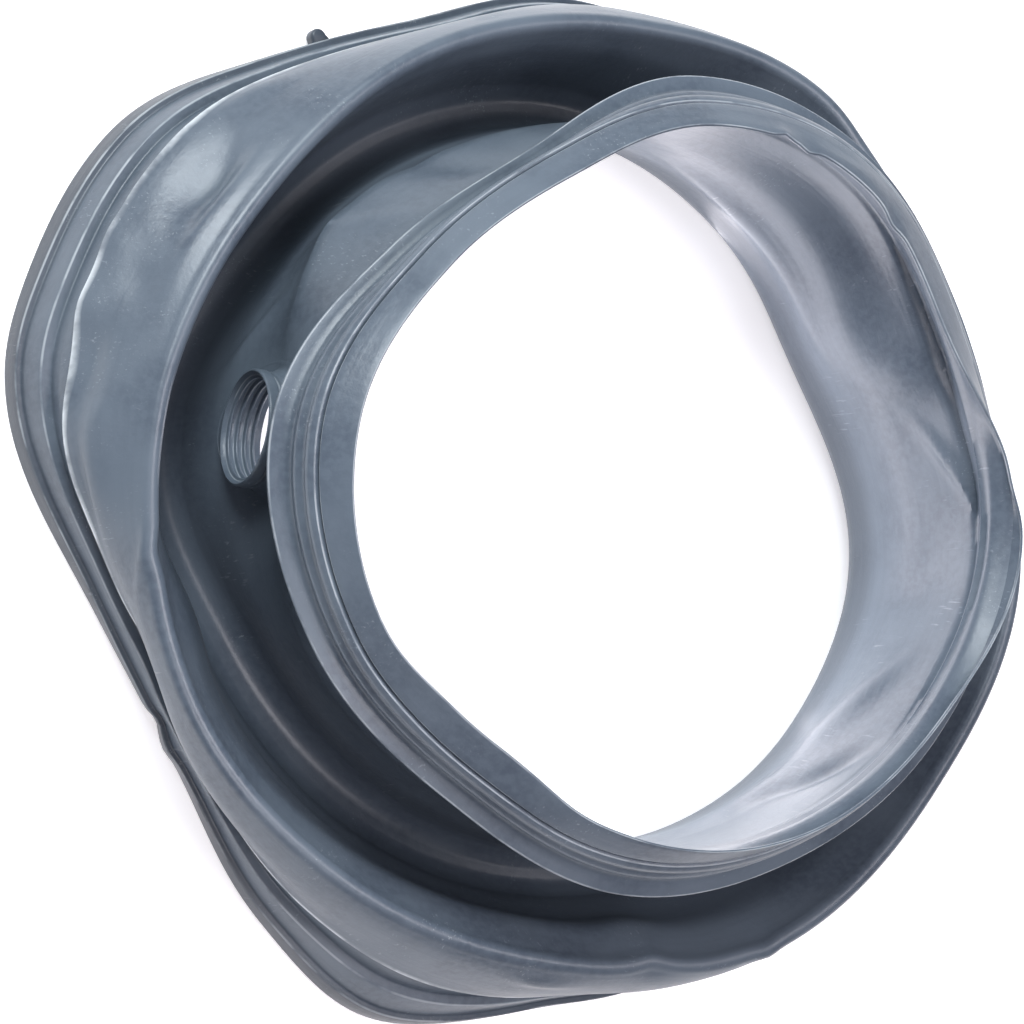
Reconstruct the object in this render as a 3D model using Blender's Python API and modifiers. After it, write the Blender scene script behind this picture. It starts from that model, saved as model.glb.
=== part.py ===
"""Washing machine door seal, a one-piece rubber bellows with a ribbed air duct.

The seal lies on its tub collar with the door ring up. It is turned as it comes
out of the mould, then slumped into the limp shape of the loose part. Metres.
"""
import math

import bpy
import bmesh
from mathutils import Matrix, Vector

# Wall and turning
WALL = 0.0024
TURNS = 80

# Tub collar, from the foot upward
COLLAR_R = 0.200
COLLAR_WALL = 0.0032
BEAD_H = 0.0085
BEAD_STEP = 0.0025
LAND_H = 0.0095
LAND_TAPER = 0.0015
GROOVE_H = 0.0105
GROOVE_DEPTH = 0.0040
EDGE_STEP = 0.0020
SOFT_EDGE = 0.0011

# Outer band, crest and the fold behind it
CREST_IN = 0.021
CREST_Z = 0.056
CREST_BEND = 0.0036
FOLD_IN = 0.045
FOLD_FLOOR_Z = 0.0080
FOLD_BEND = 0.0095

# Inner tube
WAIST_IN = 0.063
WAIST_Z = 0.060
TUBE_TOP_Z = 0.088

# Door ring and lip
RING_IN = 0.0565
RIDGE_PITCH = 0.0058
RIDGE_PROUD = 0.0013
RING_LEAN = 0.0010
FLAP_REACH = 0.0060
FLAP_THICK = 0.0016
SLOT_WIDTH = 0.0010
SLOT_DEPTH = 0.0026
LIP_REACH = 0.0115
LIP_RISE = 0.0085
LIP_THICK = 0.0026

# Air duct on the tube wall
DUCT_TURN = 164.5
DUCT_Z = 0.055
DUCT_R = 0.0210
DUCT_STANDS = 0.0120
DUCT_WALL = 0.0020
DUCT_RIBS = 4
DUCT_RIB_DEPTH = 0.0013
DUCT_TURNS = 28

# Locating nub on the collar
NUB_TURN = 109.6
NUB_R = 0.0032
NUB_STANDS = 0.0045
NUB_H = 0.0064

# How far the limp rubber leaves the round shape, in mm, at twelve directions:
# 15 degrees, 45 degrees and on round to 345 degrees
SLUMP = {
    "collar": (0, 2, 3, -6, 18, 12, -19, -5, 0, -8, -4, 0),
    "edge": (0, 6, 0, -8, 10, 8, -11, -6, -3, 0, 4, 8),
    "crest": (-1, 14, 2, -4, -8, 0, 4, -1, -2, 9, 12, 22),
    "fold": (-11, -5, 0, -2, -2, 7, -8, -12, -11, -5, 1, 3),
    "waist": (-2, 3, 2, 2, 9, -2, 2, -4, -3, 0, 4, 8),
    "flap": (12, 15, 4, -21, -17, 3, 0, -8, -1, 1, 9, 16),
    "ring": (6, 12, 0, -16, -14, 1, 0, -8, -4, -1, 4, 10),
    "lip": (4, 10, 1, -14, -11, 2, 4, -7, 1, 8, 13, 25),
}
STATIONS = ("collar", "edge", "crest", "fold", "waist", "flap", "ring", "lip")
COLLAR, EDGE, CREST, FOLD, WAIST, FLAP, RING, LIP = range(8)

# Single dents and bulges: direction, half width in degrees, place along the
# wall and its half width in stations, and how far out in mm
DENTS = (
    (95, 8, COLLAR + 0.5, 0.9, -2),
    (120, 9, COLLAR, 0.9, -2.5),
    (160, 8, COLLAR + 0.3, 0.9, 4),
    (180, 10, COLLAR + 0.4, 0.9, -4),
    (210, 11, COLLAR + 0.2, 0.9, -3.5),
    (240, 11, COLLAR, 0.8, 9.5),
    (262, 8, COLLAR + 0.5, 0.9, -3.5),
    (136, 9, EDGE + 0.5, 0.3, -3),
    (170, 7, EDGE + 0.3, 0.4, 4),
    (192, 6, EDGE, 0.4, -4),
    (205, 14, EDGE + 0.4, 0.4, 3),
    (5, 7, CREST, 0.5, -4),
    (40, 5, CREST, 0.5, -2),
    (268, 5, CREST + 0.3, 0.5, -3),
    (22, 9, WAIST, 0.8, -4),
    (338, 10, WAIST, 0.8, 3),
    (3, 7, FLAP, 0.6, -2),
    (208, 8, LIP, 0.9, -1.5),
    (240, 8, LIP, 0.9, 1.5),
)


def arc(centre, radius, first, last, count, run):
    """Points on an arc in the section, angles in degrees from outward."""
    points = []
    for i in range(count):
        a = math.radians(first + (last - first) * i / (count - 1))
        r = centre[0] + radius * math.cos(a)
        z = centre[1] + radius * math.sin(a)
        points.append((r, z, run))
    return points


def between(a, b, share, out=0.0):
    """A point part of the way from a to b, pushed outward by out."""
    r = a[0] + (b[0] - a[0]) * share + out
    z = a[1] + (b[1] - a[1]) * share
    return (r, z, a[2] + (b[2] - a[2]) * share)


def collar_outside():
    """Foot bead, land and clamp groove, up to the sharp edge of the band."""
    land_r = COLLAR_R - BEAD_STEP
    land_top = BEAD_H + LAND_H
    shelf_r = land_r - LAND_TAPER
    groove_r = shelf_r - GROOVE_DEPTH
    edge_z = land_top + GROOVE_H
    rise = 1.0 / edge_z
    points = [
        (COLLAR_R, 0.0),
        (COLLAR_R, BEAD_H - SOFT_EDGE),
        (COLLAR_R - SOFT_EDGE, BEAD_H),
        (land_r, BEAD_H + SOFT_EDGE / 3),
        (shelf_r, land_top - SOFT_EDGE),
        (shelf_r - SOFT_EDGE, land_top),
        (groove_r, land_top + SOFT_EDGE),
        (groove_r, edge_z - SOFT_EDGE),
        (shelf_r - EDGE_STEP - SOFT_EDGE / 3, edge_z),
        (shelf_r - EDGE_STEP, edge_z + SOFT_EDGE),
    ]
    return [(r, z, min(EDGE, z * rise)) for r, z in points]


def membrane(edge):
    """Outer face of the band, the crest, the trough and the inner tube."""
    crest_centre = (COLLAR_R - CREST_IN, CREST_Z - CREST_BEND)
    crest = arc(crest_centre, CREST_BEND, 25, 165, 4, CREST)
    fold_centre = (COLLAR_R - FOLD_IN, FOLD_FLOOR_Z + FOLD_BEND)
    fold = arc(fold_centre, FOLD_BEND, -8, -172, 5, FOLD)
    waist = (COLLAR_R - WAIST_IN, WAIST_Z, WAIST)
    top = (COLLAR_R - WAIST_IN, TUBE_TOP_Z, WAIST + 0.7)
    band = [between(edge, crest[0], s, 0.0012) for s in (0.33, 0.67)]
    trough = [between(crest[-1], fold[0], s) for s in (0.35, 0.7)]
    tube = [between(fold[-1], waist, s, -0.0010) for s in (0.4, 0.75)]
    return band + crest + trough + fold + tube + [waist, top]


def ring_outside(top):
    """Flap, two ridges, the narrow slot and the cone of the lip."""
    root = COLLAR_R - RING_IN
    flap_z = TUBE_TOP_Z + FLAP_THICK * 2
    one = flap_z + RIDGE_PITCH
    two = one + RIDGE_PITCH
    slot_z = two + RIDGE_PITCH / 2
    slot_r = root - RING_LEAN * 2.5
    points = [
        (root + FLAP_REACH - 0.0004, flap_z - FLAP_THICK, FLAP),
        (root + FLAP_REACH, flap_z, FLAP),
        (root, flap_z + RIDGE_PITCH / 2, FLAP + 0.2),
        (root - RING_LEAN + RIDGE_PROUD, one, FLAP + 0.4),
        (root - RING_LEAN * 1.5, one + RIDGE_PITCH / 2, FLAP + 0.6),
        (root - RING_LEAN * 2 + RIDGE_PROUD, two, FLAP + 0.8),
        (slot_r, slot_z - SLOT_WIDTH / 2, RING),
        (slot_r - SLOT_DEPTH, slot_z - SLOT_WIDTH, RING),
        (slot_r - SLOT_DEPTH, slot_z - SLOT_WIDTH / 4, RING),
        (slot_r - SOFT_EDGE, slot_z + SLOT_WIDTH / 2, RING),
    ]
    lip_r = slot_r - SOFT_EDGE - LIP_REACH
    lip_z = slot_z + LIP_RISE
    points.append((lip_r + LIP_THICK / 3, lip_z, LIP))
    points.append((lip_r, lip_z - LIP_THICK / 3, LIP))
    return points


def ring_inside():
    """Underside of the lip and the plain inside of the ring."""
    slot_r = COLLAR_R - RING_IN - RING_LEAN * 2.5
    slot_z = TUBE_TOP_Z + FLAP_THICK * 2 + RIDGE_PITCH * 2.5
    lip_r = slot_r - SOFT_EDGE - LIP_REACH
    inside_r = COLLAR_R - WAIST_IN - WALL
    return [
        (lip_r + LIP_THICK / 3, slot_z + LIP_RISE - LIP_THICK, LIP),
        (inside_r - RING_LEAN, slot_z + LIP_THICK / 3, RING + 0.3),
        (inside_r, slot_z - RIDGE_PITCH, RING),
    ]


def offset_inside(points):
    """The hidden face of the wall, one wall thickness behind the shown one."""
    shifted = []
    for i, point in enumerate(points):
        before = points[max(i - 1, 0)]
        after = points[min(i + 1, len(points) - 1)]
        dr = after[0] - before[0]
        dz = after[1] - before[1]
        step = WALL / math.hypot(dr, dz)
        shifted.append((point[0] - dz * step, point[1] + dr * step, point[2]))
    return shifted


def section():
    """The whole closed section of the wall, as (radius, height, run)."""
    outside = collar_outside()
    skin = membrane(outside[-1])
    ring = ring_outside(skin[-1])
    groove_r = min(r for r, z, run in outside)
    inner_r = groove_r - COLLAR_WALL
    hidden = offset_inside(skin)
    hidden.reverse()
    collar_top = outside[-1][1]
    collar_inside = [(inner_r, collar_top - SOFT_EDGE * 2, 0.9), (inner_r, 0.0, 0.0)]
    return outside + skin + ring + ring_inside() + hidden + collar_inside


def round_value(values, turn):
    """A smooth reading, at any direction, of values given at twelve of them."""
    place = (turn - 15.0) / 30.0
    i = math.floor(place)
    t = place - i
    a, b, c, d = (values[(i + k) % 12] for k in (-1, 0, 1, 2))
    bend = 2 * a - 5 * b + 4 * c - d
    return b + 0.5 * t * (c - a + t * (bend + t * (3 * (b - c) + d - a)))


def slump_out(run, turn):
    """How far the limp wall moves outward at this run and direction."""
    i = min(int(run), LIP - 1)
    low = round_value(SLUMP[STATIONS[i]], turn)
    high = round_value(SLUMP[STATIONS[i + 1]], turn)
    out = low + (high - low) * (run - i)
    for direction, width, place, length, push in DENTS:
        around = (turn - direction + 180.0) % 360.0 - 180.0
        near = (around / width) ** 2 + ((run - place) / length) ** 2
        out += push * math.exp(-near)
    return out * 0.001


def slump(body):
    """Let the round body go limp."""
    runs = body.data.attributes["run"].data
    for vertex in body.data.vertices:
        x, y, z = vertex.co
        radius = math.hypot(x, y)
        if radius < WALL:
            continue
        turn = math.degrees(math.atan2(y, x)) % 360.0
        grow = 1.0 + slump_out(runs[vertex.index].value, turn) / radius
        vertex.co = (x * grow, y * grow, z)


def apply_modifier(body, name):
    bpy.context.view_layer.objects.active = body
    bpy.ops.object.modifier_apply(modifier=name)


def turned(name, points, turns, collection, closed=True):
    """A body turned about Z from (radius, height, run) points."""
    mesh = bpy.data.meshes.new(name)
    count = len(points)
    last = count if closed else count - 1
    edges = [(i, (i + 1) % count) for i in range(last)]
    mesh.from_pydata([(p[0], 0.0, p[1]) for p in points], edges, [])
    run = mesh.attributes.new("run", "FLOAT", "POINT")
    run.data.foreach_set("value", [float(p[2]) for p in points])
    body = bpy.data.objects.new(name, mesh)
    collection.objects.link(body)
    screw = body.modifiers.new("Turn", "SCREW")
    screw.steps = turns
    screw.render_steps = turns
    screw.use_merge_vertices = True
    screw.merge_threshold = 0.00001
    apply_modifier(body, screw.name)
    face_outward(body)
    return body


def face_outward(body):
    shape = bmesh.new()
    shape.from_mesh(body.data)
    bmesh.ops.recalc_face_normals(shape, faces=shape.faces)
    shape.to_mesh(body.data)
    shape.free()


def combine(body, tool, operation):
    """Join the tool to the body or cut it away."""
    boolean = body.modifiers.new(operation.title(), "BOOLEAN")
    boolean.operation = operation
    boolean.solver = "EXACT"
    boolean.object = tool
    apply_modifier(body, boolean.name)


def as_tool(body):
    body.hide_render = True
    body.display_type = "WIRE"


def tube_core(collection):
    """Everything within the middle of the tube wall, limp like the tube."""
    half = WALL / 2
    tube = membrane(collar_outside()[-1])[-5:]
    points = [(r - half, z, run) for r, z, run in tube]
    ends = [(0.0, points[-1][1], WAIST), (0.0, points[0][1], FOLD)]
    core = turned("tube_core", points + ends, TURNS, collection, closed=False)
    as_tool(core)
    return core


def duct_frame():
    """Where the duct sits: its Z runs outward and its zero is on the wall."""
    wall_r = COLLAR_R - WAIST_IN + slump_out(WAIST, DUCT_TURN)
    turn = math.radians(DUCT_TURN)
    outward = Vector((math.cos(turn), math.sin(turn), 0.0))
    side = Vector((-math.sin(turn), math.cos(turn), 0.0))
    up = Vector((0.0, 0.0, 1.0))
    rows = Matrix((side, up, outward)).transposed().to_4x4()
    return Matrix.Translation(outward * wall_r + up * DUCT_Z) @ rows


def duct_plug(collection):
    """The solid stub with its rolled rim, before the bore is cut."""
    rim = DUCT_STANDS
    points = [
        (0.0, rim, 0),
        (DUCT_R - SOFT_EDGE / 2, rim, 0),
        (DUCT_R, rim - SOFT_EDGE / 2, 0),
        (DUCT_R, rim - DUCT_WALL, 0),
        (DUCT_R - SOFT_EDGE / 2, rim - DUCT_WALL * 1.5, 0),
        (DUCT_R - SOFT_EDGE / 2, -DUCT_R * 0.6, 0),
        (0.0, -DUCT_R * 0.6, 0),
    ]
    plug = turned("duct_plug", points, DUCT_TURNS, collection, closed=False)
    plug.data.transform(duct_frame())
    as_tool(plug)
    return plug


def duct_bore(collection):
    """The cutter for the bore, grooved so that ribs stay between grooves."""
    bore_r = DUCT_R - DUCT_WALL
    pitch = (DUCT_STANDS + WALL) / (DUCT_RIBS + 0.5)
    outside = DUCT_STANDS + 0.002
    points = [(0.0, outside, 0), (bore_r, outside, 0)]
    for i in range(DUCT_RIBS):
        z = DUCT_STANDS - pitch * (i + 0.55)
        points.append((bore_r, z + pitch * 0.10, 0))
        points.append((bore_r - DUCT_RIB_DEPTH, z - pitch * 0.10, 0))
        points.append((bore_r - DUCT_RIB_DEPTH, z - pitch * 0.30, 0))
        points.append((bore_r, z - pitch * 0.42, 0))
    end = -DUCT_R * 0.7
    points += [(bore_r, end, 0), (0.0, end, 0)]
    bore = turned("duct_bore", points, DUCT_TURNS, collection, closed=False)
    bore.data.transform(duct_frame())
    as_tool(bore)
    return bore


def nub(collection):
    """The small locating nub, an upright peg sunk into the foot bead."""
    rim_r = COLLAR_R + slump_out(COLLAR, NUB_TURN)
    bottom = SOFT_EDGE
    points = [
        (0.0, NUB_H, 0),
        (NUB_R - SOFT_EDGE / 2, NUB_H, 0),
        (NUB_R, NUB_H - SOFT_EDGE / 2, 0),
        (NUB_R, bottom, 0),
        (0.0, bottom, 0),
    ]
    peg = turned("nub", points, 12, collection, closed=False)
    turn = math.radians(NUB_TURN)
    centre_r = rim_r + NUB_STANDS - NUB_R
    place = (centre_r * math.cos(turn), centre_r * math.sin(turn), 0.0)
    peg.data.transform(Matrix.Translation(place))
    as_tool(peg)
    return peg


def centre_on_origin(body):
    """Put the middle of the footprint on the origin."""
    xs = [v.co.x for v in body.data.vertices]
    ys = [v.co.y for v in body.data.vertices]
    middle = ((min(xs) + max(xs)) / 2, (min(ys) + max(ys)) / 2, 0.0)
    body.data.transform(Matrix.Translation(-Vector(middle)))


def rubber():
    material = bpy.data.materials.new("grey_rubber")
    material.use_nodes = True
    shader = material.node_tree.nodes["Principled BSDF"]
    shader.inputs["Base Color"].default_value = (0.105, 0.139, 0.178, 1.0)
    shader.inputs["Roughness"].default_value = 0.42
    material.diffuse_color = (0.105, 0.139, 0.178, 1.0)
    return material


def main():
    for old in list(bpy.data.objects):
        bpy.data.objects.remove(old)
    parts = bpy.data.collections.new("washing_machine_door_seal")
    tools = bpy.data.collections.new("cutters")
    bpy.context.scene.collection.children.link(parts)
    bpy.context.scene.collection.children.link(tools)

    seal = turned("door_seal", section(), TURNS, parts)
    slump(seal)

    core = tube_core(tools)
    slump(core)
    plug = duct_plug(tools)
    combine(plug, core, "DIFFERENCE")
    combine(seal, plug, "UNION")
    combine(seal, duct_bore(tools), "DIFFERENCE")
    combine(seal, nub(tools), "UNION")

    centre_on_origin(seal)
    seal.data.materials.clear()
    seal.data.materials.append(rubber())
    return seal


main()
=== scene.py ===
# %% [markdown]
# A door seal for a front-loading washing machine: one piece of moulded grey rubber.
# Its wide collar clamps to the tub, a deep fold lets the drum shake without tearing
# the seal, and the ring on top closes against the glass of the door. The loose part
# lies limp on a pale floor, with the door ring up.
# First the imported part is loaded. It is the fixed frame that every piece here fits.

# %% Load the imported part
import math

import bmesh
import bpy
import numpy as np
from mathutils import Matrix, Vector


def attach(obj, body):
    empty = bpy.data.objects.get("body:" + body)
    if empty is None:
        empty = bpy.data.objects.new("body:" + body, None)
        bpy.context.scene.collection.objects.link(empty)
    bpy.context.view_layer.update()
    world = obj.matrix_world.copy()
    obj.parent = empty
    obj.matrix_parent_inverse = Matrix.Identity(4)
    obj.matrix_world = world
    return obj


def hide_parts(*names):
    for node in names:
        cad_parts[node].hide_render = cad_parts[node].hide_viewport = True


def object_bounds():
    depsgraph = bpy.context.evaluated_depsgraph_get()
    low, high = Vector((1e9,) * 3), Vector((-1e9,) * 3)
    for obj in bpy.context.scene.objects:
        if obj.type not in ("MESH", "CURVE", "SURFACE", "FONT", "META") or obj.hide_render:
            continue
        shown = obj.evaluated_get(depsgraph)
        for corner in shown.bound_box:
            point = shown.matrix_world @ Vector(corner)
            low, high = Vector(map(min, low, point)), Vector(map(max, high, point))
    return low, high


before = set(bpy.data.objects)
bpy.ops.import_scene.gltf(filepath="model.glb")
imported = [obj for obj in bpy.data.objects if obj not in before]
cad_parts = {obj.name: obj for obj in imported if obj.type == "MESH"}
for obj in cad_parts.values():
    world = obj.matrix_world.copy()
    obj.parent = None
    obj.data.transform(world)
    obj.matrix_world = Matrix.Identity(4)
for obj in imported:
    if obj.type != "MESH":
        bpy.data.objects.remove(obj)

CAD_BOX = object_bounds()
MM = 0.001
print("packed part, in mm:", [round((b - a) / MM, 1) for a, b in zip(*CAD_BOX)])


# %% [markdown]
# Most steps work on one object at a time, as the hand does. Two small helpers keep
# the selection clean: an operator acts on whatever is selected, so each step starts
# by deselecting everything.

# %% Helpers for selecting and for edit mode
SAME_POINT = 0.00001


def take(body):
    """Select one object only and make it the active one."""
    bpy.ops.object.select_all(action="DESELECT")
    body.select_set(True)
    bpy.context.view_layer.objects.active = body


def finish_mesh(body):
    """Merge doubled points and turn every face outward."""
    take(body)
    bpy.ops.object.mode_set(mode="EDIT")
    bpy.ops.mesh.select_all(action="SELECT")
    bpy.ops.mesh.remove_doubles(threshold=SAME_POINT)
    bpy.ops.mesh.normals_make_consistent(inside=False)
    bpy.ops.mesh.select_all(action="DESELECT")
    bpy.ops.object.mode_set(mode="OBJECT")


def apply_modifier(body, name):
    """Turn one modifier of a piece into its mesh."""
    take(body)
    bpy.ops.object.modifier_apply(modifier=name)


def count(body):
    """Triangles in a finished piece."""
    return sum(len(face.vertices) - 2 for face in body.data.polygons)


# %% [markdown]
# The camera stands where the photographer stood: high over the duct side, looking
# down into the mouth, rolled a few degrees, with a long lens. It could be aimed with a
# Track To constraint, but that can't hold the roll, so its three axes are given. The
# photograph is square, 1024 pixels wide, and the lens is worked out for that width.

# %% Camera
CAMERA_AT = Vector((-0.53320, -0.00466, 0.91460))
CAMERA_BACK = Vector((-0.5, 0.0, 0.8660))
CAMERA_UP = Vector((0.1205, 0.9903, 0.0696))
SENSOR = 36.0
FOCAL_PIXELS = 2700.0
PICTURE_PIXELS = 1024.0
NEAREST = 0.05
FARTHEST = 20.0

bpy.ops.object.select_all(action="DESELECT")
bpy.ops.object.camera_add(location=CAMERA_AT)
camera = bpy.context.object
camera.name = "camera"
back = CAMERA_BACK.normalized()
right = CAMERA_UP.cross(back).normalized()
up = back.cross(right)
camera.rotation_euler = Matrix((right, up, back)).transposed().to_euler()
camera.data.sensor_width = SENSOR
camera.data.lens = SENSOR * FOCAL_PIXELS / PICTURE_PIXELS
camera.data.clip_start = NEAREST
camera.data.clip_end = FARTHEST
bpy.context.scene.camera = camera
print("lens, mm:", round(camera.data.lens, 1))


# %% [markdown]
# The wall is one closed outline, drawn in section: distance from the axis, height,
# and how far along the wall the point lies. That third number, the run, counts the
# stations of the wall from the foot of the collar (0) to the edge of the lip (7). It
# stays with every point, because the limp shape is given station by station.
# A drawn outline that is spun round the axis is how the mould itself is turned, and
# it keeps each ridge and groove true all the way round.

# %% Sizes of the wall, in mm
WALL = 2.4
# The tub collar, from its foot up to the sharp edge.
COLLAR_R = 200.0
COLLAR_WALL = 3.2
BEAD_H = 8.5
BEAD_STEP = 2.5
LAND_H = 9.5
LAND_TAPER = 1.5
GROOVE_H = 10.5
GROOVE_DEPTH = 4.0
EDGE_STEP = 2.0
COLLAR_SOFT = 0.7
# The crest of the band, the fold behind it and the inner tube. IN is from the collar.
CREST_IN = 21.0
CREST_Z = 56.0
CREST_BEND = 3.6
FOLD_IN = 45.0
FOLD_FLOOR_Z = 8.0
FOLD_BEND = 9.5
WAIST_IN = 63.0
WAIST_Z = 60.0
TUBE_TOP_Z = 88.0
# The door ring: flap, two ridges, slot and lip.
RING_IN = 56.5
RIDGE_PITCH = 5.8
RIDGE_PROUD = 1.3
RIDGE_HALF = 1.3
RING_LEAN = 1.0
FLAP_REACH = 6.0
FLAP_THICK = 1.6
FLAP_SOFT = 0.6
SLOT_WIDTH = 1.0
SLOT_DEPTH = 2.6
SLOT_SOFT = 0.45
LIP_REACH = 11.5
LIP_RISE = 8.5
LIP_THICK = 2.6
LIP_BACK = 1.1
# The line that the mould leaves in the fold, then the steps of the mesh.
PARTING_W = 2.6
PARTING_H = 0.45
STEP = 3.6
AROUND = 360
# The stations of the run.
COLLAR, EDGE, CREST, FOLD, WAIST, FLAP, RING, LIP = range(8)


# %% [markdown]
# A moulded section is made of arcs, smooth lines and softened corners. The points
# could be typed in one by one, but then a change of one size would mean that many of
# them have to be moved by hand. These tools draw each kind of line from the named
# sizes instead, and a point keeps its run while it is drawn.

# %% Tools for drawing an outline
def arc(centre, radius, first, last, steps, run):
    """Points on an arc in the section, with angles in degrees from outward."""
    points = []
    for i in range(steps + 1):
        a = math.radians(first + (last - first) * i / steps)
        out, rise = radius * math.cos(a), radius * math.sin(a)
        points.append((centre[0] + out, centre[1] + rise, run))
    return points


def mix(a, b, share):
    """A point on the straight line from a to b."""
    return tuple(p + (q - p) * share for p, q in zip(a, b))


def bowed(a, b, share, out):
    """A point part of the way from a to b, pushed outward."""
    r, z, run = mix(a, b, share)
    return (r + out, z, run)


def curve_through(points, step):
    """A smooth line through the points, with a point about every step."""
    line = []
    last = len(points) - 1
    for i in range(last):
        p = [np.array(points[min(max(k, 0), last)]) for k in (i - 1, i, i + 1, i + 2)]
        parts = max(1, round(math.dist(p[1][:2], p[2][:2]) / step))
        for k in range(parts):
            t = k / parts
            bend = 2 * p[0] - 5 * p[1] + 4 * p[2] - p[3]
            rest = 3 * (p[1] - p[2]) + p[3] - p[0]
            line.append(tuple(p[1] + 0.5 * t * (p[2] - p[0] + t * (bend + t * rest))))
    line.append(tuple(points[-1]))
    return line


def softened(corners, soft, steps=3):
    """The corners joined by straight lines, each corner rounded off."""
    line = [corners[0]]
    for before, corner, after in zip(corners, corners[1:], corners[2:]):
        sides = [max(math.dist(corner[:2], p[:2]), 0.001) for p in (before, after)]
        cut = [min(soft / side, 0.45) for side in sides]
        start = mix(corner, before, cut[0])
        end = mix(corner, after, cut[1])
        for i in range(steps + 1):
            t = i / steps
            line.append(mix(mix(start, corner, t), mix(corner, end, t), t))
    line.append(corners[-1])
    return line


def filled(line, step, closed=True):
    """The same line with its long straight stretches divided."""
    points = []
    for a, b in zip(line, line[1:] + line[:1] if closed else line[1:]):
        parts = max(1, math.ceil(math.dist(a[:2], b[:2]) / step))
        points += [mix(a, b, k / parts) for k in range(parts)]
    return points if closed else points + line[-1:]


# %% [markdown]
# The outline goes once round the wall: up the outside of the collar, over the crest,
# down into the fold, up the inner tube and over the ring to the lip, then back along
# the other face. A Solidify modifier could give the other face, but the collar, the
# flap and the lip have thicknesses of their own, so both faces are drawn. Where an
# outline turns sharply, the rubber is painted pale, partly as rubbed wear and partly as
# a painted highlight of the light that a sharp edge catches, so each point also gets
# this paleness.

# %% Draw the section of the wall
def collar_outside():
    """Foot bead, land and clamp groove, up to the sharp edge of the band."""
    land_r = COLLAR_R - BEAD_STEP
    land_top = BEAD_H + LAND_H
    shelf_r = land_r - LAND_TAPER
    groove_r = shelf_r - GROOVE_DEPTH
    edge_z = land_top + GROOVE_H
    corners = [
        (COLLAR_R - COLLAR_WALL, 0.0),
        (COLLAR_R, 0.0),
        (COLLAR_R, BEAD_H),
        (land_r, BEAD_H),
        (shelf_r, land_top),
        (groove_r, land_top),
        (groove_r, edge_z),
        (shelf_r - EDGE_STEP, edge_z),
        (shelf_r - EDGE_STEP - 0.1, edge_z + 0.9),
    ]
    return softened([(r, z, min(EDGE, z / edge_z)) for r, z in corners], COLLAR_SOFT)


def membrane(edge):
    """Shown face of the band, the crest, the trough and the inner tube."""
    crest_centre = (COLLAR_R - CREST_IN, CREST_Z - CREST_BEND)
    crest = arc(crest_centre, CREST_BEND, 25, 165, 5, CREST)
    fold_centre = (COLLAR_R - FOLD_IN, FOLD_FLOOR_Z + FOLD_BEND)
    fold = arc(fold_centre, FOLD_BEND, -8, -172, 6, FOLD)
    waist = (COLLAR_R - WAIST_IN, WAIST_Z, WAIST)
    top = (COLLAR_R - WAIST_IN, TUBE_TOP_Z, WAIST + 0.7)
    band = [bowed(edge, crest[0], share, 1.2) for share in (0.33, 0.67)]
    trough = [mix(crest[-1], fold[0], share) for share in (0.35, 0.7)]
    tube = [bowed(fold[-1], waist, share, -1.0) for share in (0.4, 0.75)]
    skin = [edge] + band + crest + trough + fold + tube + [waist, top]
    return curve_through(skin, STEP)[1:]


def ring_outside():
    """Flap, two ridges, the narrow slot and the cone of the lip."""
    root = COLLAR_R - RING_IN
    flap_z = TUBE_TOP_Z + FLAP_THICK * 2
    one = flap_z + RIDGE_PITCH
    two = one + RIDGE_PITCH
    slot_z = two + RIDGE_PITCH / 2
    slot_r = root - RING_LEAN * 2.5
    shoulder = RIDGE_PROUD * 0.6
    flap = softened([
        (COLLAR_R - WAIST_IN + 1.5, TUBE_TOP_Z + 0.8, FLAP - 0.1),
        (root + FLAP_REACH, flap_z - FLAP_THICK, FLAP),
        (root + FLAP_REACH, flap_z, FLAP),
        (root + 1.2, flap_z + RIDGE_PITCH / 2 - 1.6, FLAP + 0.15),
    ], FLAP_SOFT)
    ridges = curve_through([
        flap[-1],
        (root - 0.3, flap_z + RIDGE_PITCH / 2, FLAP + 0.2),
        (root - RING_LEAN + shoulder, one - RIDGE_HALF, FLAP + 0.35),
        (root - RING_LEAN + RIDGE_PROUD, one, FLAP + 0.4),
        (root - RING_LEAN + shoulder, one + RIDGE_HALF, FLAP + 0.45),
        (root - RING_LEAN * 1.5 - 0.2, one + RIDGE_PITCH / 2, FLAP + 0.6),
        (root - RING_LEAN * 2 + shoulder, two - RIDGE_HALF, FLAP + 0.75),
        (root - RING_LEAN * 2 + RIDGE_PROUD, two, FLAP + 0.8),
        (slot_r + 0.6, slot_z - SLOT_WIDTH * 1.1, RING - 0.05),
    ], STEP / 4)[1:]
    lip_r = slot_r - LIP_REACH - LIP_BACK
    lip_z = slot_z + LIP_RISE
    slot = softened([
        ridges[-1],
        (slot_r, slot_z - SLOT_WIDTH / 2, RING),
        (slot_r - SLOT_DEPTH, slot_z - SLOT_WIDTH, RING),
        (slot_r - SLOT_DEPTH, slot_z - SLOT_WIDTH * 0.1, RING),
        (slot_r - LIP_BACK, slot_z + SLOT_WIDTH * 0.6, RING),
        (lip_r + LIP_THICK / 3, lip_z, LIP),
        (lip_r, lip_z - LIP_THICK / 3, LIP),
        (lip_r + LIP_THICK / 3, lip_z - LIP_THICK, LIP),
    ], SLOT_SOFT)[1:-1]
    return flap + ridges + slot


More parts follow.
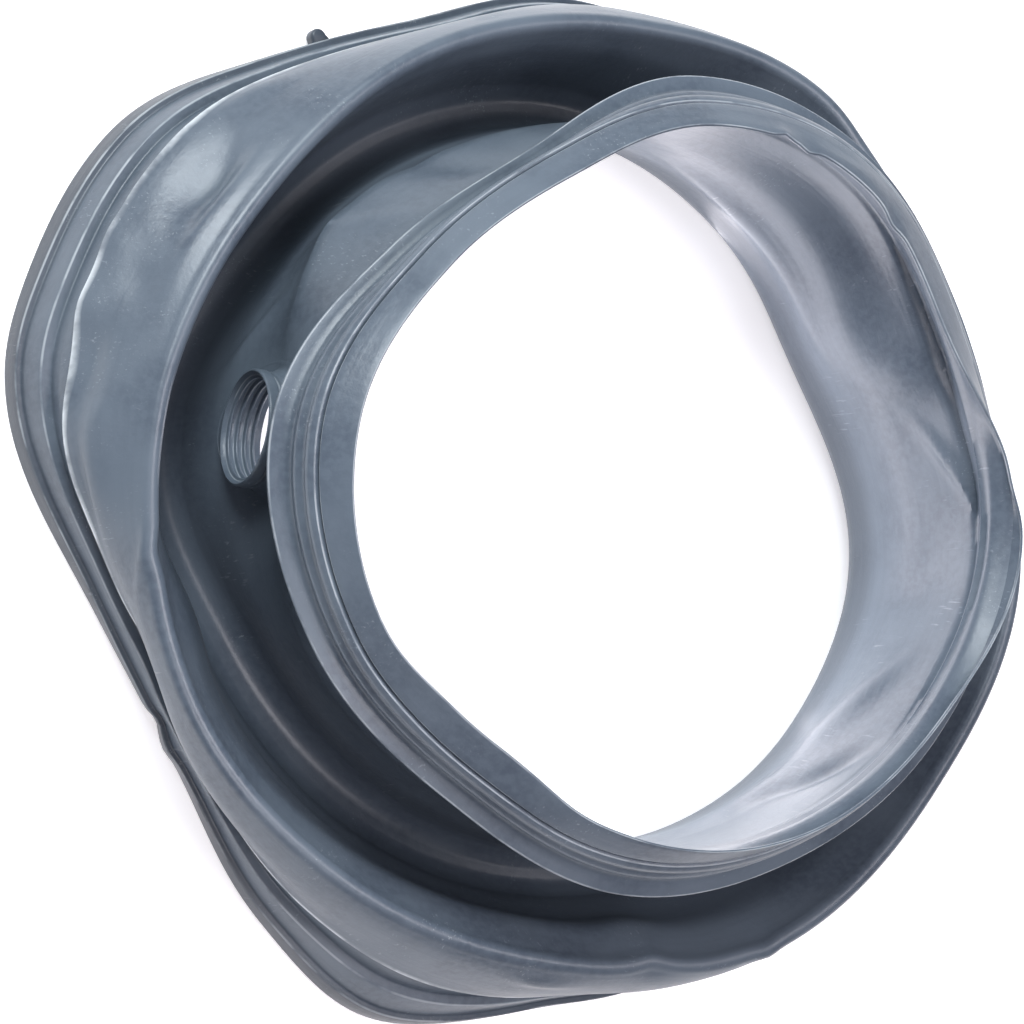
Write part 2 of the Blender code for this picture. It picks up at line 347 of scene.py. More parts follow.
def ring_inside():
    """Underside of the lip and the plain inside of the ring."""
    slot_r = COLLAR_R - RING_IN - RING_LEAN * 2.5
    slot_z = TUBE_TOP_Z + FLAP_THICK * 2 + RIDGE_PITCH * 2.5
    inside_r = COLLAR_R - WAIST_IN - WALL
    lip_r = slot_r - LIP_BACK - LIP_REACH
    return curve_through([
        (lip_r + LIP_THICK / 3, slot_z + LIP_RISE - LIP_THICK, LIP),
        (inside_r - RING_LEAN * 2.2, slot_z + LIP_THICK * 0.7, RING + 0.4),
        (inside_r - RING_LEAN * 0.5, slot_z - LIP_THICK * 0.5, RING + 0.1),
        (inside_r, slot_z - RIDGE_PITCH, RING),
        (inside_r, TUBE_TOP_Z + 2.0, WAIST + 0.8),
    ], STEP / 2)


def with_parting_line(line):
    """The thin rib that the two halves of the mould leave in the floor of the fold."""
    i = min(range(len(line)), key=lambda k: line[k][1])
    r, z, run = line[i]
    half = PARTING_W / 2
    rib = [(r + half, z, run), (r, z + PARTING_H, run), (r - half, z, run)]
    return line[:i] + rib + line[i + 1:]


def hidden_face(line):
    """The other face of the wall, one wall thickness behind the shown one."""
    shifted = []
    for i, point in enumerate(line):
        before = line[max(i - 1, 0)]
        after = line[min(i + 1, len(line) - 1)]
        dr = after[0] - before[0]
        dz = after[1] - before[1]
        step = WALL / math.hypot(dr, dz)
        shifted.append((point[0] - dz * step, point[1] + dr * step, point[2]))
    return shifted[::-1]


def wall_section():
    """The closed outline of the whole wall."""
    outside = collar_outside()
    skin = membrane(outside[-1])
    groove_r = COLLAR_R - BEAD_STEP - LAND_TAPER - GROOVE_DEPTH
    inner_r = groove_r - COLLAR_WALL
    top = outside[-1][1]
    inside = softened([
        (inner_r + 0.5, top + 2.0, EDGE),
        (inner_r, top - 2.0, 0.9),
        (inner_r, 0.0, COLLAR),
        (COLLAR_R - COLLAR_WALL, 0.0, COLLAR),
    ], COLLAR_SOFT)[1:-1]
    band = sum(p[2] <= CREST for p in skin)
    shown = filled(outside, STEP, False) + filled(skin[:band], STEP / 2, False)
    shown += with_parting_line(skin[band:]) + ring_outside()
    # The other face shows in the mouth. Under the fold every third point is enough.
    back = hidden_face(skin)[:-1]
    seen = [p for p in back if p[2] > FOLD - 0.4]
    unseen = back[len(seen)::3]
    front = filled(shown + ring_inside() + seen, STEP, False)
    return front + filled(unseen + inside, STEP * 3, False)


# An edge is painted pale where it turns by more than the first angle below, in degrees
# in a mm, and fully so the second angle later: partly rubbed wear and partly a painted
# highlight of the light that a sharp edge catches. The collar's sharp edge stands
# proudest and gets most.
PALE_FROM = 45.0
PALE_OVER = 30.0
SMALL_EDGE = 0.45


def edge_wear_and_highlight(line):
    """For each point of the closed outline, how pale its edge is painted, as wear and painted
    highlight, 0 to 1.
    """
    sharp = []
    for before, here, after in zip(line[-1:] + line[:-1], line, line[1:] + line[:1]):
        first = math.atan2(here[1] - before[1], here[0] - before[0])
        second = math.atan2(after[1] - here[1], after[0] - here[0])
        bend = math.degrees((second - first + math.pi) % math.tau - math.pi)
        span = (math.dist(before[:2], here[:2]) + math.dist(here[:2], after[:2])) / 2
        # The collar's sharp edge gets the full pale line: wear and a painted highlight.
        if EDGE <= here[2] < EDGE + 0.03 and here[0] > COLLAR_R - 12.0:
            sharp.append(1.0)
        else:
            paleness = (bend / span - PALE_FROM) / PALE_OVER
            sharp.append(SMALL_EDGE * min(max(paleness, 0.0), 1.0))
    return sharp


outline = wall_section()
print("points in the section:", len(outline))


# %% [markdown]
# The outline is drawn as by hand: one point is extruded from place to place, and the
# last edge closes the loop. Spin then turns it round the axis. A Screw modifier would
# turn it as well, but Spin works on any piece in edit mode, and the run and the edge
# paleness of wear and painted highlight that are written onto the drawn points go
# round with them.

# %% Extrude the outline and spin it
def drawn(name, line):
    """A closed outline of edges in the XZ plane, extruded point by point."""
    bpy.ops.object.select_all(action="DESELECT")
    bpy.ops.mesh.primitive_plane_add(size=MM)
    body = bpy.context.object
    body.name = name
    body.data.name = name
    bpy.ops.object.mode_set(mode="EDIT")
    bpy.ops.mesh.select_all(action="SELECT")
    bpy.ops.mesh.merge(type="CENTER")
    places = [Vector((p[0] * MM, 0.0, p[1] * MM)) for p in line]
    bpy.ops.transform.translate(value=places[0])
    for here, there in zip(places, places[1:]):
        bpy.ops.mesh.extrude_region_move(TRANSFORM_OT_translate={"value": there - here})
    shape = bmesh.from_edit_mesh(body.data)
    shape.verts.ensure_lookup_table()
    for vertex in shape.verts:
        vertex.select = vertex.index in (0, len(line) - 1)
    shape.select_flush(True)
    bmesh.update_edit_mesh(body.data)
    bpy.ops.mesh.edge_face_add()
    bpy.ops.object.mode_set(mode="OBJECT")
    run = body.data.attributes.new("run", "FLOAT", "POINT")
    run.data.foreach_set("value", [float(p[2]) for p in line])
    edge = body.data.attributes.new("edge", "FLOAT", "POINT")
    edge.data.foreach_set("value", edge_wear_and_highlight(line))
    return body


def spun(name, line, steps):
    """The drawn outline turned once round Z."""
    body = drawn(name, line)
    take(body)
    bpy.ops.object.mode_set(mode="EDIT")
    bpy.ops.mesh.select_all(action="SELECT")
    bpy.ops.mesh.spin(steps=steps, angle=math.tau, center=(0, 0, 0), axis=(0, 0, 1))
    bpy.ops.object.mode_set(mode="OBJECT")
    finish_mesh(body)
    return body


seal = spun("bellows", outline, AROUND)
print("spun:", len(seal.data.vertices), "points")


# %% [markdown]
# Out of its box the seal never keeps the round shape of its mould. A cloth simulation
# would let it sag, but not into the very shape of the photograph. So the difference
# from round is given in mm for each station of the wall, at twelve directions, and
# read as a smooth line between them. Direction 0 is +X, and 90 is +Y. Single dents
# are laid on top, each a soft bump: its direction and half width in degrees, its run
# and half length in stations, its push outward in mm, and how many degrees it slants
# per station. The soft folds are the smaller creases between the dents.

# %% The limp shape
FIRST_TURN = 15.0
TURN_STEP = 30.0
SLUMP = {
    COLLAR: (0, 2, 3, -6, 18, 12, -19, -5, 0, -8, -4, 0),
    EDGE: (0, 6, 0, -8, 10, 8, -11, -6, -3, 0, 4, 8),
    CREST: (-1, 14, 2, -4, -8, 0, 4, -1, -2, 9, 12, 22),
    FOLD: (-11, -5, 0, -2, -2, 7, -8, -12, -11, -5, 1, 3),
    WAIST: (-2, 3, 2, 2, 9, -2, 2, -4, -3, 0, 4, 8),
    FLAP: (12, 15, 4, -21, -17, 3, 0, -8, -1, 1, 9, 16),
    RING: (6, 12, 0, -16, -14, 1, 0, -8, -4, -1, 4, 10),
    LIP: (4, 10, 1, -14, -11, 2, 4, -7, 1, 8, 13, 25),
}
DENTS = (
    (95, 8, COLLAR + 0.5, 0.9, -2, 0),
    (120, 9, COLLAR, 0.9, -2.5, 0),
    (160, 8, COLLAR + 0.3, 0.9, 4, 0),
    (180, 10, COLLAR + 0.4, 0.9, -4, 0),
    (210, 11, COLLAR + 0.2, 0.9, -3.5, 0),
    (240, 11, COLLAR, 0.8, 9.5, 0),
    (262, 8, COLLAR + 0.5, 0.9, -3.5, 0),
    (136, 9, EDGE + 0.5, 0.3, -3, 0),
    (170, 7, EDGE + 0.3, 0.4, 4, 0),
    (192, 6, EDGE, 0.4, -4, 0),
    (205, 14, EDGE + 0.4, 0.4, 3, 0),
    (5, 7, CREST, 0.5, -4, 0),
    (40, 5, CREST, 0.5, -2, 0),
    (268, 5, CREST + 0.3, 0.5, -3, 0),
    (22, 9, WAIST, 0.8, -4, 0),
    (338, 10, WAIST, 0.8, 3, 0),
    (3, 7, FLAP, 0.6, -2, 0),
    (208, 8, LIP, 0.9, -1.5, 0),
    (240, 8, LIP, 0.9, 1.5, 0),
)
SOFT_FOLDS = (
    (137, 5.5, 1.50, 0.20, -4.6, 0),
    (140, 10, 1.84, 0.13, 2.6, 0),
    (143, 2.2, 1.34, 0.24, 1.5, 6),
    (129, 3.0, 1.50, 0.22, 1.4, 4),
    (124.5, 4, 1.20, 0.13, 1.6, -10),
    (147.5, 2.3, 1.20, 0.24, 2.0, 6),
    (150.0, 2.4, 1.45, 0.26, -2.2, 8),
    (154.2, 2.4, 1.12, 0.18, 1.8, 0),
    (160, 4.0, 1.20, 0.22, -3.6, 0),
    (172, 5, 1.20, 0.14, -2.6, -15),
    (165, 2.6, 1.60, 0.25, 1.6, -8),
    (150, 2.2, 3.52, 0.24, 2.4, -22),
    (132, 3.5, 4.10, 0.40, 1.5, -14),
    (115, 4.0, 4.10, 0.35, -1.5, -14),
    (187, 9, 2.55, 0.30, -6.0, 0),
    (164, 8, 2.60, 0.30, -4.0, 0),
    (252, 32, 2.32, 0.26, -6.0, 0),
    (178, 1.8, 2.10, 0.30, 1.6, -18),
    (205, 18, 2.62, 0.08, -1.4, 0),
    (45, 21, 3.58, 0.16, -4.0, 0),
    (42, 18, 4.46, 0.32, 4.5, 0),
    (12, 4.5, 4.40, 0.45, -3.0, 0),
    (356, 2.2, 4.60, 0.24, -2.8, -25),
    (340, 6, 4.10, 0.40, 1.6, 10),
    (318, 6, 4.00, 0.35, -3.0, 20),
    (290, 14, 3.72, 0.14, -2.6, 0),
    (301, 4, 4.30, 0.30, 3.0, 18),
    (199.5, 1.3, 0.10, 0.35, -1.6, 0),
    (203.0, 1.5, 0.10, 0.35, 1.2, 0),
    (254, 4, 1.76, 0.10, 1.4, 0),
    (268, 1.8, 2.08, 0.14, -2.0, 0),
    (284, 1.6, 2.02, 0.12, 1.3, 0),
    (62, 1.3, 6.95, 0.25, 1.6, 0),
    (57, 1.6, 6.95, 0.25, -1.8, 0),
    (46, 4.0, 6.60, 0.18, 1.8, 18),
    (38, 2.2, 6.98, 0.22, -1.8, 0),
    (352, 4.0, 6.90, 0.30, -2.0, 0),
)


def round_value(values, turn):
    """A smooth reading, at any direction, of values given at twelve of them."""
    place = (turn - FIRST_TURN) / TURN_STEP
    i = np.floor(place).astype(int)
    t = place - i
    a, b, c, d = (np.take(values, (i + k) % len(values)) for k in (-1, 0, 1, 2))
    bend = 2 * a - 5 * b + 4 * c - d
    return b + 0.5 * t * (c - a + t * (bend + t * (3 * (b - c) + d - a)))


def slump_out(run, turn):
    """How far the limp wall moves outward, in mm."""
    rows = [np.array(SLUMP[k], float) for k in range(LIP + 1)]
    stations = np.stack([round_value(row, turn) for row in rows])
    i = np.clip(run.astype(int), 0, LIP - 1)
    low = np.take_along_axis(stations, i[None], 0)[0]
    high = np.take_along_axis(stations, i[None] + 1, 0)[0]
    out = low + (high - low) * (run - i)
    for direction, width, place, length, push, slant in DENTS + SOFT_FOLDS:
        around = (turn - direction - slant * (run - place) + 180.0) % 360.0 - 180.0
        out = out + push * np.exp(-(around / width) ** 2 - ((run - place) / length) ** 2)
    return out


def slump(body):
    """Let the round body go limp."""
    size = len(body.data.vertices)
    co = np.empty(size * 3)
    run = np.empty(size)
    body.data.vertices.foreach_get("co", co)
    body.data.attributes["run"].data.foreach_get("value", run)
    co = co.reshape(-1, 3)
    radius = np.hypot(co[:, 0], co[:, 1])
    turn = np.degrees(np.arctan2(co[:, 1], co[:, 0])) % 360.0
    grow = 1.0 + slump_out(run, turn) * MM / np.maximum(radius, WALL * MM)
    co[:, 0] *= grow
    co[:, 1] *= grow
    body.data.vertices.foreach_set("co", co.ravel())
    body.data.update()


slump(seal)
low = np.min([v.co[:] for v in seal.data.vertices], axis=0)
high = np.max([v.co[:] for v in seal.data.vertices], axis=0)
print("limp seal, in mm:", np.round((high - low) / MM, 1))


# %% [markdown]
# The air duct is a short ribbed stub on the wall of the inner tube. A hose pushes
# into it, and the ribs grip the hose. It could be modelled straight on the wall, but
# its rolled rim, neck and ribs are all round, so it is spun on its own axis like the
# seal and then set on the wall. Its foot flares out, and the flare is lowered point by
# point onto the limp wall, so that the two run into each other as one moulding does.

# %% Sizes of the air duct, in mm
DUCT_TURN = 164.5
DUCT_Z = 55.0
DUCT_R = 21.0
DUCT_STANDS = 12.0
DUCT_WALL = 2.0
DUCT_RIBS = 4
DUCT_RIB_DEPTH = 1.3
DUCT_TURNS = 96
DUCT_SOFT = 0.8
RIB_SOFT = 0.4
RIM_H = 4.2
NECK_DEEP = 1.5
FLARE_R = 27.0
FLARE_H = 3.6
DUCT_FOOT = 3.2


def duct_frame():
    """Where the duct sits: its Z runs outward and its zero is on the wall."""
    wall = slump_out(np.array([float(WAIST)]), np.array([DUCT_TURN]))[0]
    turn = math.radians(DUCT_TURN)
    outward = Vector((math.cos(turn), math.sin(turn), 0.0))
    side = Vector((-math.sin(turn), math.cos(turn), 0.0))
    rows = Matrix((side, Vector((0.0, 0.0, 1.0)), outward)).transposed().to_4x4()
    at = outward * (COLLAR_R - WAIST_IN + wall) * MM + Vector((0.0, 0.0, DUCT_Z * MM))
    return Matrix.Translation(at) @ rows


def duct_outside():
    """Rolled rim, neck, base ring and the flare that ends under the wall's skin."""
    neck_r = DUCT_R - NECK_DEEP
    flare_w = FLARE_R - DUCT_R
    top = DUCT_STANDS
    rim = softened([
        (DUCT_R - DUCT_WALL, top, 0),
        (DUCT_R - 0.2, top, 0),
        (DUCT_R, top - RIM_H, 0),
        (neck_r, top - RIM_H - 0.4, 0),
        (neck_r, top - RIM_H - 1.4, 0),
        (DUCT_R - 0.3, top - RIM_H - 2.0, 0),
        (DUCT_R, FLARE_H, 0),
    ], DUCT_SOFT, 4)[1:]
    flare = curve_through([
        (DUCT_R, FLARE_H, 0),
        (DUCT_R + flare_w * 0.18, FLARE_H * 0.42, 0),
        (DUCT_R + flare_w * 0.5, FLARE_H * 0.1, 0),
        (FLARE_R, -0.3, 0),
    ], DUCT_SOFT)[1:]
    return rim + flare + [(FLARE_R, -0.9, 0), (DUCT_R, -1.4, 0)]


def duct_bore():
    """The bore from its foot out to the rim, with a soft rib between grooves."""
    bore_r = DUCT_R - DUCT_WALL
    pitch = (DUCT_STANDS + WALL) / (DUCT_RIBS + 0.5)
    bore = [(DUCT_R - 0.6, -DUCT_FOOT, 0), (bore_r, -DUCT_FOOT, 0)]
    # A rib rises over a tenth of the pitch, stays level for a quarter and then falls.
    for i in reversed(range(DUCT_RIBS)):
        z = DUCT_STANDS - pitch * (i + 0.55)
        bore.append((bore_r, z - pitch * 0.42, 0))
        bore.append((bore_r - DUCT_RIB_DEPTH, z - pitch * 0.32, 0))
        bore.append((bore_r - DUCT_RIB_DEPTH, z - pitch * 0.06, 0))
        bore.append((bore_r, z + pitch * 0.06, 0))
    return softened(bore + [(bore_r, DUCT_STANDS, 0)], RIB_SOFT, 2)[:-1]


duct = spun("air_duct", filled(duct_outside() + duct_bore(), STEP / 2), DUCT_TURNS)
print("spun:", len(duct.data.vertices), "points")


# %% [markdown]
# The flare has to end in the wall, but the limp wall is neither flat nor round there.
# A Shrinkwrap modifier would press the whole foot onto it. So a ray from above each
# point of the flare finds how deep the wall lies there, and the point goes down by
# that much: a little near the stub, which keeps its shape, and fully further out.

# %% Settle the flare on the limp wall
FLARE_GRIP = 1.6
DEEPEST = 8.0


def settle_on_wall(body, wall, frame_there):
    """Lower the points of the flare by as much as the wall lies below its zero."""
    back_home = frame_there.inverted()
    down = frame_there.to_3x3() @ Vector((0.0, 0.0, -1.0))
    for vertex in body.data.vertices:
        side, rise, _ = vertex.co / MM
        reach = (math.hypot(side, rise) - DUCT_R) / (FLARE_R - DUCT_R)
        share = min(max(reach * FLARE_GRIP, 0.0), 1.0)
        if share == 0.0:
            continue
        start = frame_there @ Vector((side * MM, rise * MM, DUCT_STANDS * MM * 2))
        hit, place, _, _ = wall.ray_cast(start, down)
        if hit:
            depth = (back_home @ place).z / MM
            vertex.co.z += share * max(depth, -DEEPEST) * MM


settle_on_wall(duct, seal, duct_frame())
duct.data.transform(duct_frame())
duct_run = [float(WAIST)] * len(duct.data.vertices)
duct.data.attributes["run"].data.foreach_set("value", duct_run)
print("air duct:", count(duct), "triangles")


# %% [markdown]
# Warm air comes through the duct into the mouth, so the wall is open behind it. The
# faces there could be deleted by hand, but the hole would have a ragged rim. A drill
# on the duct's own axis and an exact Boolean leave a clean round hole instead. Its
# radius lies in the middle of the stub's wall, which covers the rim of the cut.

# %% Cut the wall open behind the duct
drill_size = {"radius": (DUCT_R - DUCT_WALL / 2) * MM, "depth": DUCT_R * 2 * MM}
bpy.ops.object.select_all(action="DESELECT")
bpy.ops.mesh.primitive_cylinder_add(vertices=DUCT_TURNS, **drill_size)
drill = bpy.context.object
drill.data.transform(duct_frame())
cut = seal.modifiers.new("Cut", "BOOLEAN")
cut.operation = "DIFFERENCE"
cut.solver = "EXACT"
cut.object = drill
apply_modifier(seal, cut.name)
bpy.data.objects.remove(drill)
print("wall after the cut:", count(seal), "triangles")


# %% [markdown]
# A small nub on the foot of the collar tells the fitter which way round the seal goes.
# It is a peg, and two small wings of rubber run from it into the bead. It could be a
# bevelled cylinder, but it is spun like the rest, so it carries the same attributes,
# and its inner side is then widened into the wings.

# %% The locating nub
NUB_TURN = 109.6
NUB_R = 3.2
NUB_STANDS = 4.5
NUB_H = 6.4
NUB_WING = 1.5
NUB_FOOT = 0.6
NUB_SOFT = 1.4
NUB_TURNS = 32
AXIS_GAP = 0.01

peg = [(AXIS_GAP, NUB_H, 0), (NUB_R, NUB_H, 0), (NUB_R, NUB_FOOT, 0), (AXIS_GAP, NUB_FOOT, 0)]
nub = spun("locating_nub", softened(peg, NUB_SOFT, 4), NUB_TURNS)
for vertex in nub.data.vertices:
    into = max(-vertex.co.x / (NUB_R * MM), 0.0)
    vertex.co.y *= 1.0 + NUB_WING * into ** 2
rim_out = slump_out(np.array([float(COLLAR)]), np.array([NUB_TURN]))[0]
nub_r = COLLAR_R + rim_out + NUB_STANDS - NUB_R
turned = Matrix.Rotation(math.radians(NUB_TURN), 4, "Z")
nub.data.transform(turned @ Matrix.Translation((nub_r * MM, 0.0, 0.0)))
print("nub:", count(nub), "triangles")


# %% [markdown]
# The drawing was made round the axis of the mould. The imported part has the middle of
# its footprint on the origin, so every piece moves over by the same step. The step
# goes into the meshes, and the objects stay at the origin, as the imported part's do.
# Then the faces are shaded smooth, except across edges that are meant to be sharp.

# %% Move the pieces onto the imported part
SHARP_EDGE = 50.0

points = np.array([v.co[:2] for piece in (seal, nub) for v in piece.data.vertices])
middle = (points.min(axis=0) + points.max(axis=0)) / 2
cad_middle = (np.array(CAD_BOX[0][:2]) + np.array(CAD_BOX[1][:2])) / 2
shift = Matrix.Translation((*(cad_middle - middle), 0.0))
for piece in (seal, duct, nub):
    piece.data.transform(shift)
    take(piece)
    bpy.ops.object.shade_smooth_by_angle(angle=math.radians(SHARP_EDGE))
print("moved by, in mm:", np.round((cad_middle - middle) / MM, 2))


# %% [markdown]
# The rubber is EPDM, filled with carbon black and chalk to a slate blue grey. It is
# moulded against polished steel, so it has a satin face. It could be painted with one
# flat colour, but real rubber is never even: wax blooms out in pale clouds, the steel
# leaves faint drag lines, and every edge that stands proud is painted pale, partly as
# rubbed wear and partly as a painted highlight of the light that a sharp edge catches.
# The foot of the collar and the floor of the fold get painted shade. The clouds, lines
# and pale edges are all noise in real millimetres, and the pale edges follow the edge
# attribute that the outline carries.

# %% Colour and node helpers
def paint(hex_colour):
    """An sRGB hex colour as linear red, green, blue and alpha."""
    parts = [int(hex_colour[i:i + 2], 16) / 255 for i in (1, 3, 5)]
    linear = [c / 12.92 if c <= 0.04045 else ((c + 0.055) / 1.055) ** 2.4 for c in parts]
    return (*linear, 1.0)


def add_node(material, kind, settings=None, inputs=None, links=None):
    """A node with its settings, its values and the links into it."""
    tree = material.node_tree
    node = tree.nodes.new(kind)
    for name, value in (settings or {}).items():
        setattr(node, name, value)
    for name, value in (inputs or {}).items():
        node.inputs[name].default_value = value
    for name, socket in (links or {}).items():
        tree.links.new(socket, node.inputs[name])
    return node


# %% [markdown]
# Every pattern is read from Object coordinates or from the attributes of the mesh, so
# it keeps its place and its size in millimetres from any side. An image texture would
# need a flat map of a form that folds back on itself.
# Each noise that several layers share is made once here.

# %% EPDM rubber: coordinates and noises
# The slate grey of the compound, the paler grey where wax has bloomed, the whitened
# rubber of a rubbed edge or scuff, also used as a painted highlight on sharp edges, and
# the painted shade on the foot and on the fold's floor.
RUBBER_DEEP = "#525c69"
RUBBER_BLOOM = "#66717d"
RUBBER_WORN_AND_HIGHLIGHT = "#dbe2e7"
RUBBER_PAINTED_SHADE = "#2f3640"

rubber = bpy.data.materials.new("epdm_rubber")
rubber.use_nodes = True
shader = rubber.node_tree.nodes["Principled BSDF"]


def noise_of(size_mm, detail, stretch=(1.0, 1.0, 1.0)):
    """Cloudy noise whose lumps are size_mm across, stretched along the axes."""
    scale = tuple(1.0 / (MM * size_mm * s) for s in stretch)
    place = add_node(rubber, "ShaderNodeMapping", inputs={"Scale": scale})
    rubber.node_tree.links.new(where.outputs["Object"], place.inputs["Vector"])
    cloud = add_node(rubber, "ShaderNodeTexNoise", inputs={
        "Scale": 1.0, "Detail": detail, "Roughness": 0.55,
    }, links={"Vector": place.outputs["Vector"]})
    return cloud.outputs["Fac"]


def spread(value, low, high, new_low=0.0, new_high=1.0):
    """A value stretched from low..high to a new range, smooth at both ends."""
    ends = {"From Min": low, "From Max": high, "To Min": new_low, "To Max": new_high}
    smooth = {"interpolation_type": "SMOOTHSTEP"}
    node = add_node(rubber, "ShaderNodeMapRange", smooth, ends, {"Value": value})
    return node.outputs["Result"]


def combined(operation, first, second=None):
    """One value, two values, or a value and a number, put through a Math node."""
    node = add_node(rubber, "ShaderNodeMath", {"operation": operation}, links={0: first})
    if isinstance(second, float):
        node.inputs[1].default_value = second
    elif second is not None:
        rubber.node_tree.links.new(second, node.inputs[1])
    return node.outputs["Value"]


def tinted(base, colour, share):
    """The base colour turned towards another one by the share."""
    # A Mix node keeps its colour sockets at 6 and 7, and its colour comes out at 2.
    settings = {"data_type": "RGBA"}
    node = add_node(rubber, "ShaderNodeMix", settings, {7: paint(colour)}, {0: share, 6: base})
    return node.outputs[2]


where = add_node(rubber, "ShaderNodeTexCoord")
edge = add_node(rubber, "ShaderNodeAttribute", {"attribute_name": "edge"})
run = add_node(rubber, "ShaderNodeAttribute", {"attribute_name": "run"})

# Wax blooms in clouds about 5 cm wide. The mottle of 3 mm is the filler in the rubber.
bloom = spread(noise_of(48.0, 2.0), 0.32, 0.68)
mottle = spread(noise_of(3.0, 3.0), 0.3, 0.7)
# Drag lines run round the seal, where it was peeled off the core of the mould.
drag = spread(noise_of(2.2, 2.0, (26.0, 26.0, 1.0)), 0.42, 0.72)
# Hands have rubbed and scuffed the skin only in patches.
patches = spread(noise_of(26.0, 3.0), 0.52, 0.66)
# The steel's own grain is about 0.1 mm, too fine to show, so it is drawn at 0.9 mm.
grain = noise_of(0.9, 2.0)
print("nodes for the noises:", len(rubber.node_tree.nodes))


# %% [markdown]
# The layers go on from the widest to the smallest: bloom, mottle, drag lines, the
# painted shade of the foot and fold, the pale edges of wear and painted highlight, and
# last the scuffs. Wax dulls the gloss a little and a pale edge is duller still, so the
# same noises drive the roughness.
# The relief is only a skin, about a tenth of a mm deep: every fold is in the mesh.

# %% EPDM rubber: colour, gloss and relief
# How far each layer turns the colour under it.
MOTTLE_SHARE = 0.6
DRAG_SHARE = 0.14
FOOT_SHADE_SHARE = 0.7
FOLD_SHADE_SHARE = 0.42
SCUFF_SHARE = 0.2
# The floor of the fold, as a run, and the roughness of clean moulded rubber.
FOLD_FLOOR = 2.85
SATIN = 0.30

deep = add_node(rubber, "ShaderNodeRGB")
deep.outputs[0].default_value = paint(RUBBER_DEEP)
# Pale edges: the edge attribute, broken into patches, turns the rubber pale, partly as wear
# and partly as a painted highlight on sharp edges.
pale_edge_patches = spread(noise_of(22.0, 4.0), 0.38, 0.58, 0.15, 0.95)
wear_and_highlight = combined("MULTIPLY", edge.outputs["Fac"], pale_edge_patches)
scratches = spread(noise_of(1.0, 2.0, (1.0, 1.0, 22.0)), 0.60, 0.74)
scuffs = combined("MULTIPLY", scratches, patches)

shade = tinted(deep.outputs[0], RUBBER_BLOOM, bloom)
shade = tinted(shade, RUBBER_BLOOM, combined("MULTIPLY", mottle, MOTTLE_SHARE))
shade = tinted(shade, RUBBER_DEEP, combined("MULTIPLY", drag, DRAG_SHARE))
# Painted shade: the foot of the collar and the floor of the fold are darkened.
shade = tinted(shade, RUBBER_PAINTED_SHADE, spread(run.outputs["Fac"], 0.36, 0.26, 0.0, FOOT_SHADE_SHARE))
from_fold = combined("ABSOLUTE", combined("SUBTRACT", run.outputs["Fac"], FOLD_FLOOR))
shade = tinted(shade, RUBBER_PAINTED_SHADE, spread(from_fold, 0.65, 0.35, 0.0, FOLD_SHADE_SHARE))
# Painted highlight and wear on the edges, then the real scuffs.
shade = tinted(shade, RUBBER_WORN_AND_HIGHLIGHT, wear_and_highlight)
shade = tinted(shade, RUBBER_WORN_AND_HIGHLIGHT, combined("MULTIPLY", scuffs, SCUFF_SHARE))
rubber.node_tree.links.new(shade, shader.inputs["Base Color"])

gloss = combined("ADD", combined("MULTIPLY", bloom, 0.09), combined("MULTIPLY", patches, 0.05))
gloss = combined("ADD", combined("ADD", gloss, combined("MULTIPLY", wear_and_highlight, 0.12)), SATIN)
rubber.node_tree.links.new(gloss, shader.inputs["Roughness"])
shader.inputs["IOR"].default_value = 1.5

relief = combined("ADD", combined("MULTIPLY", grain, 0.5), combined("MULTIPLY", drag, 0.35))
relief = combined("ADD", relief, combined("MULTIPLY", mottle, 0.4))
skin_depth = {"Strength": 0.5, "Distance": 0.00015}
bump = add_node(rubber, "ShaderNodeBump", inputs=skin_depth, links={"Height": relief})
rubber.node_tree.links.new(bump.outputs["Normal"], shader.inputs["Normal"])
for piece in (seal, duct, nub):
    piece.data.materials.clear()
    piece.data.materials.append(rubber)
print("rubber nodes:", len(rubber.node_tree.nodes))


# %% [markdown]
# The part lies on a sheet of white acrylic that glows a little, so its own shadow
# stays pale. A large cool softbox stands at the top of the picture and draws the long
# highlights on the band. A high lamp on the right and a fill from the lower left keep
# the ring and the near side readable, and the fold stays dark. A small light table in
# the mouth sends light up the inner wall, as the bright floor of the photograph does.
# Bare bulbs could give as much light, but only wide lamps leave soft highlights.

# %% Floor and light
FLOOR_SIZE = 6.0
FLOOR_GLOW = 0.55
ROOM_LIGHT = 0.03

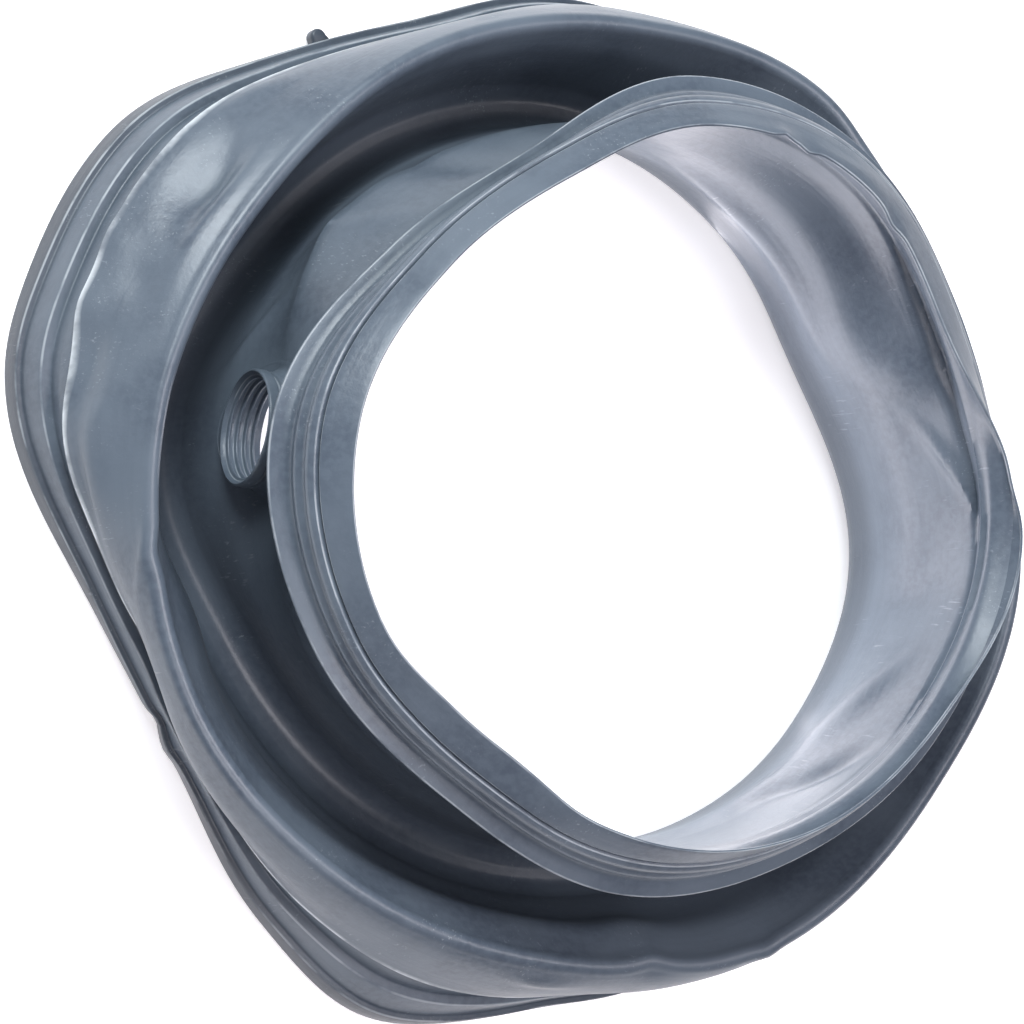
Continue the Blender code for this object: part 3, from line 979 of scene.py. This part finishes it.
bpy.ops.object.select_all(action="DESELECT")
bpy.ops.mesh.primitive_plane_add(size=FLOOR_SIZE)
floor = bpy.context.object
floor.name = "floor"
acrylic = bpy.data.materials.new("white_acrylic")
acrylic.use_nodes = True
table_top = acrylic.node_tree.nodes["Principled BSDF"]
table_top.inputs["Base Color"].default_value = paint("#f0f0f0")
table_top.inputs["Roughness"].default_value = 0.9
table_top.inputs["Emission Color"].default_value = (1.0, 0.97, 1.0, 1.0)
table_top.inputs["Emission Strength"].default_value = FLOOR_GLOW
floor.data.materials.append(acrylic)


def softbox(name, place, aim, size, power, tint):
    """A square studio light that looks at a point."""
    bpy.ops.object.select_all(action="DESELECT")
    bpy.ops.object.light_add(type="AREA", location=place)
    lamp = bpy.context.object
    lamp.name = name
    lamp.data.shape = "SQUARE"
    lamp.data.size = size
    lamp.data.energy = power
    lamp.data.color = tint
    lamp.rotation_euler = (Vector(aim) - Vector(place)).to_track_quat("-Z", "Y").to_euler()


COOL = (0.93, 1.0, 1.03)
WARM = (1.0, 0.95, 1.0)
SEAL_MIDDLE = (0, 0, 0.05)
softbox("key", (-0.42, 1.10, 1.10), SEAL_MIDDLE, 0.7, 22.0, COOL)
softbox("top", (0.42, -0.12, 1.60), SEAL_MIDDLE, 0.8, 14.0, WARM)
softbox("fill", (-0.45, -0.62, 1.38), SEAL_MIDDLE, 0.7, 8.0, WARM)
softbox("light_table", (0.01, 0.0, 0.004), (0.01, 0.0, 1.0), 0.19, 0.34, WARM)
world = bpy.context.scene.world or bpy.data.worlds.new("studio")
bpy.context.scene.world = world
world.use_nodes = True
room = world.node_tree.nodes["Background"]
room.inputs["Color"].default_value = (1.0, 1.0, 1.0, 1.0)
room.inputs["Strength"].default_value = ROOM_LIGHT
bpy.context.scene.view_settings.view_transform = "Standard"


# %% [markdown]
# The wall, the duct and the nub are one moulding on the real seal and one node in the
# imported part. They could be joined into one mesh here too, but as three pieces each
# keeps its own name. All three replace that node and stay on the fixed body.

# %% Hand the pieces to the frame
for piece in (seal, duct, nub):
    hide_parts("door_seal")
    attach(piece, "root")
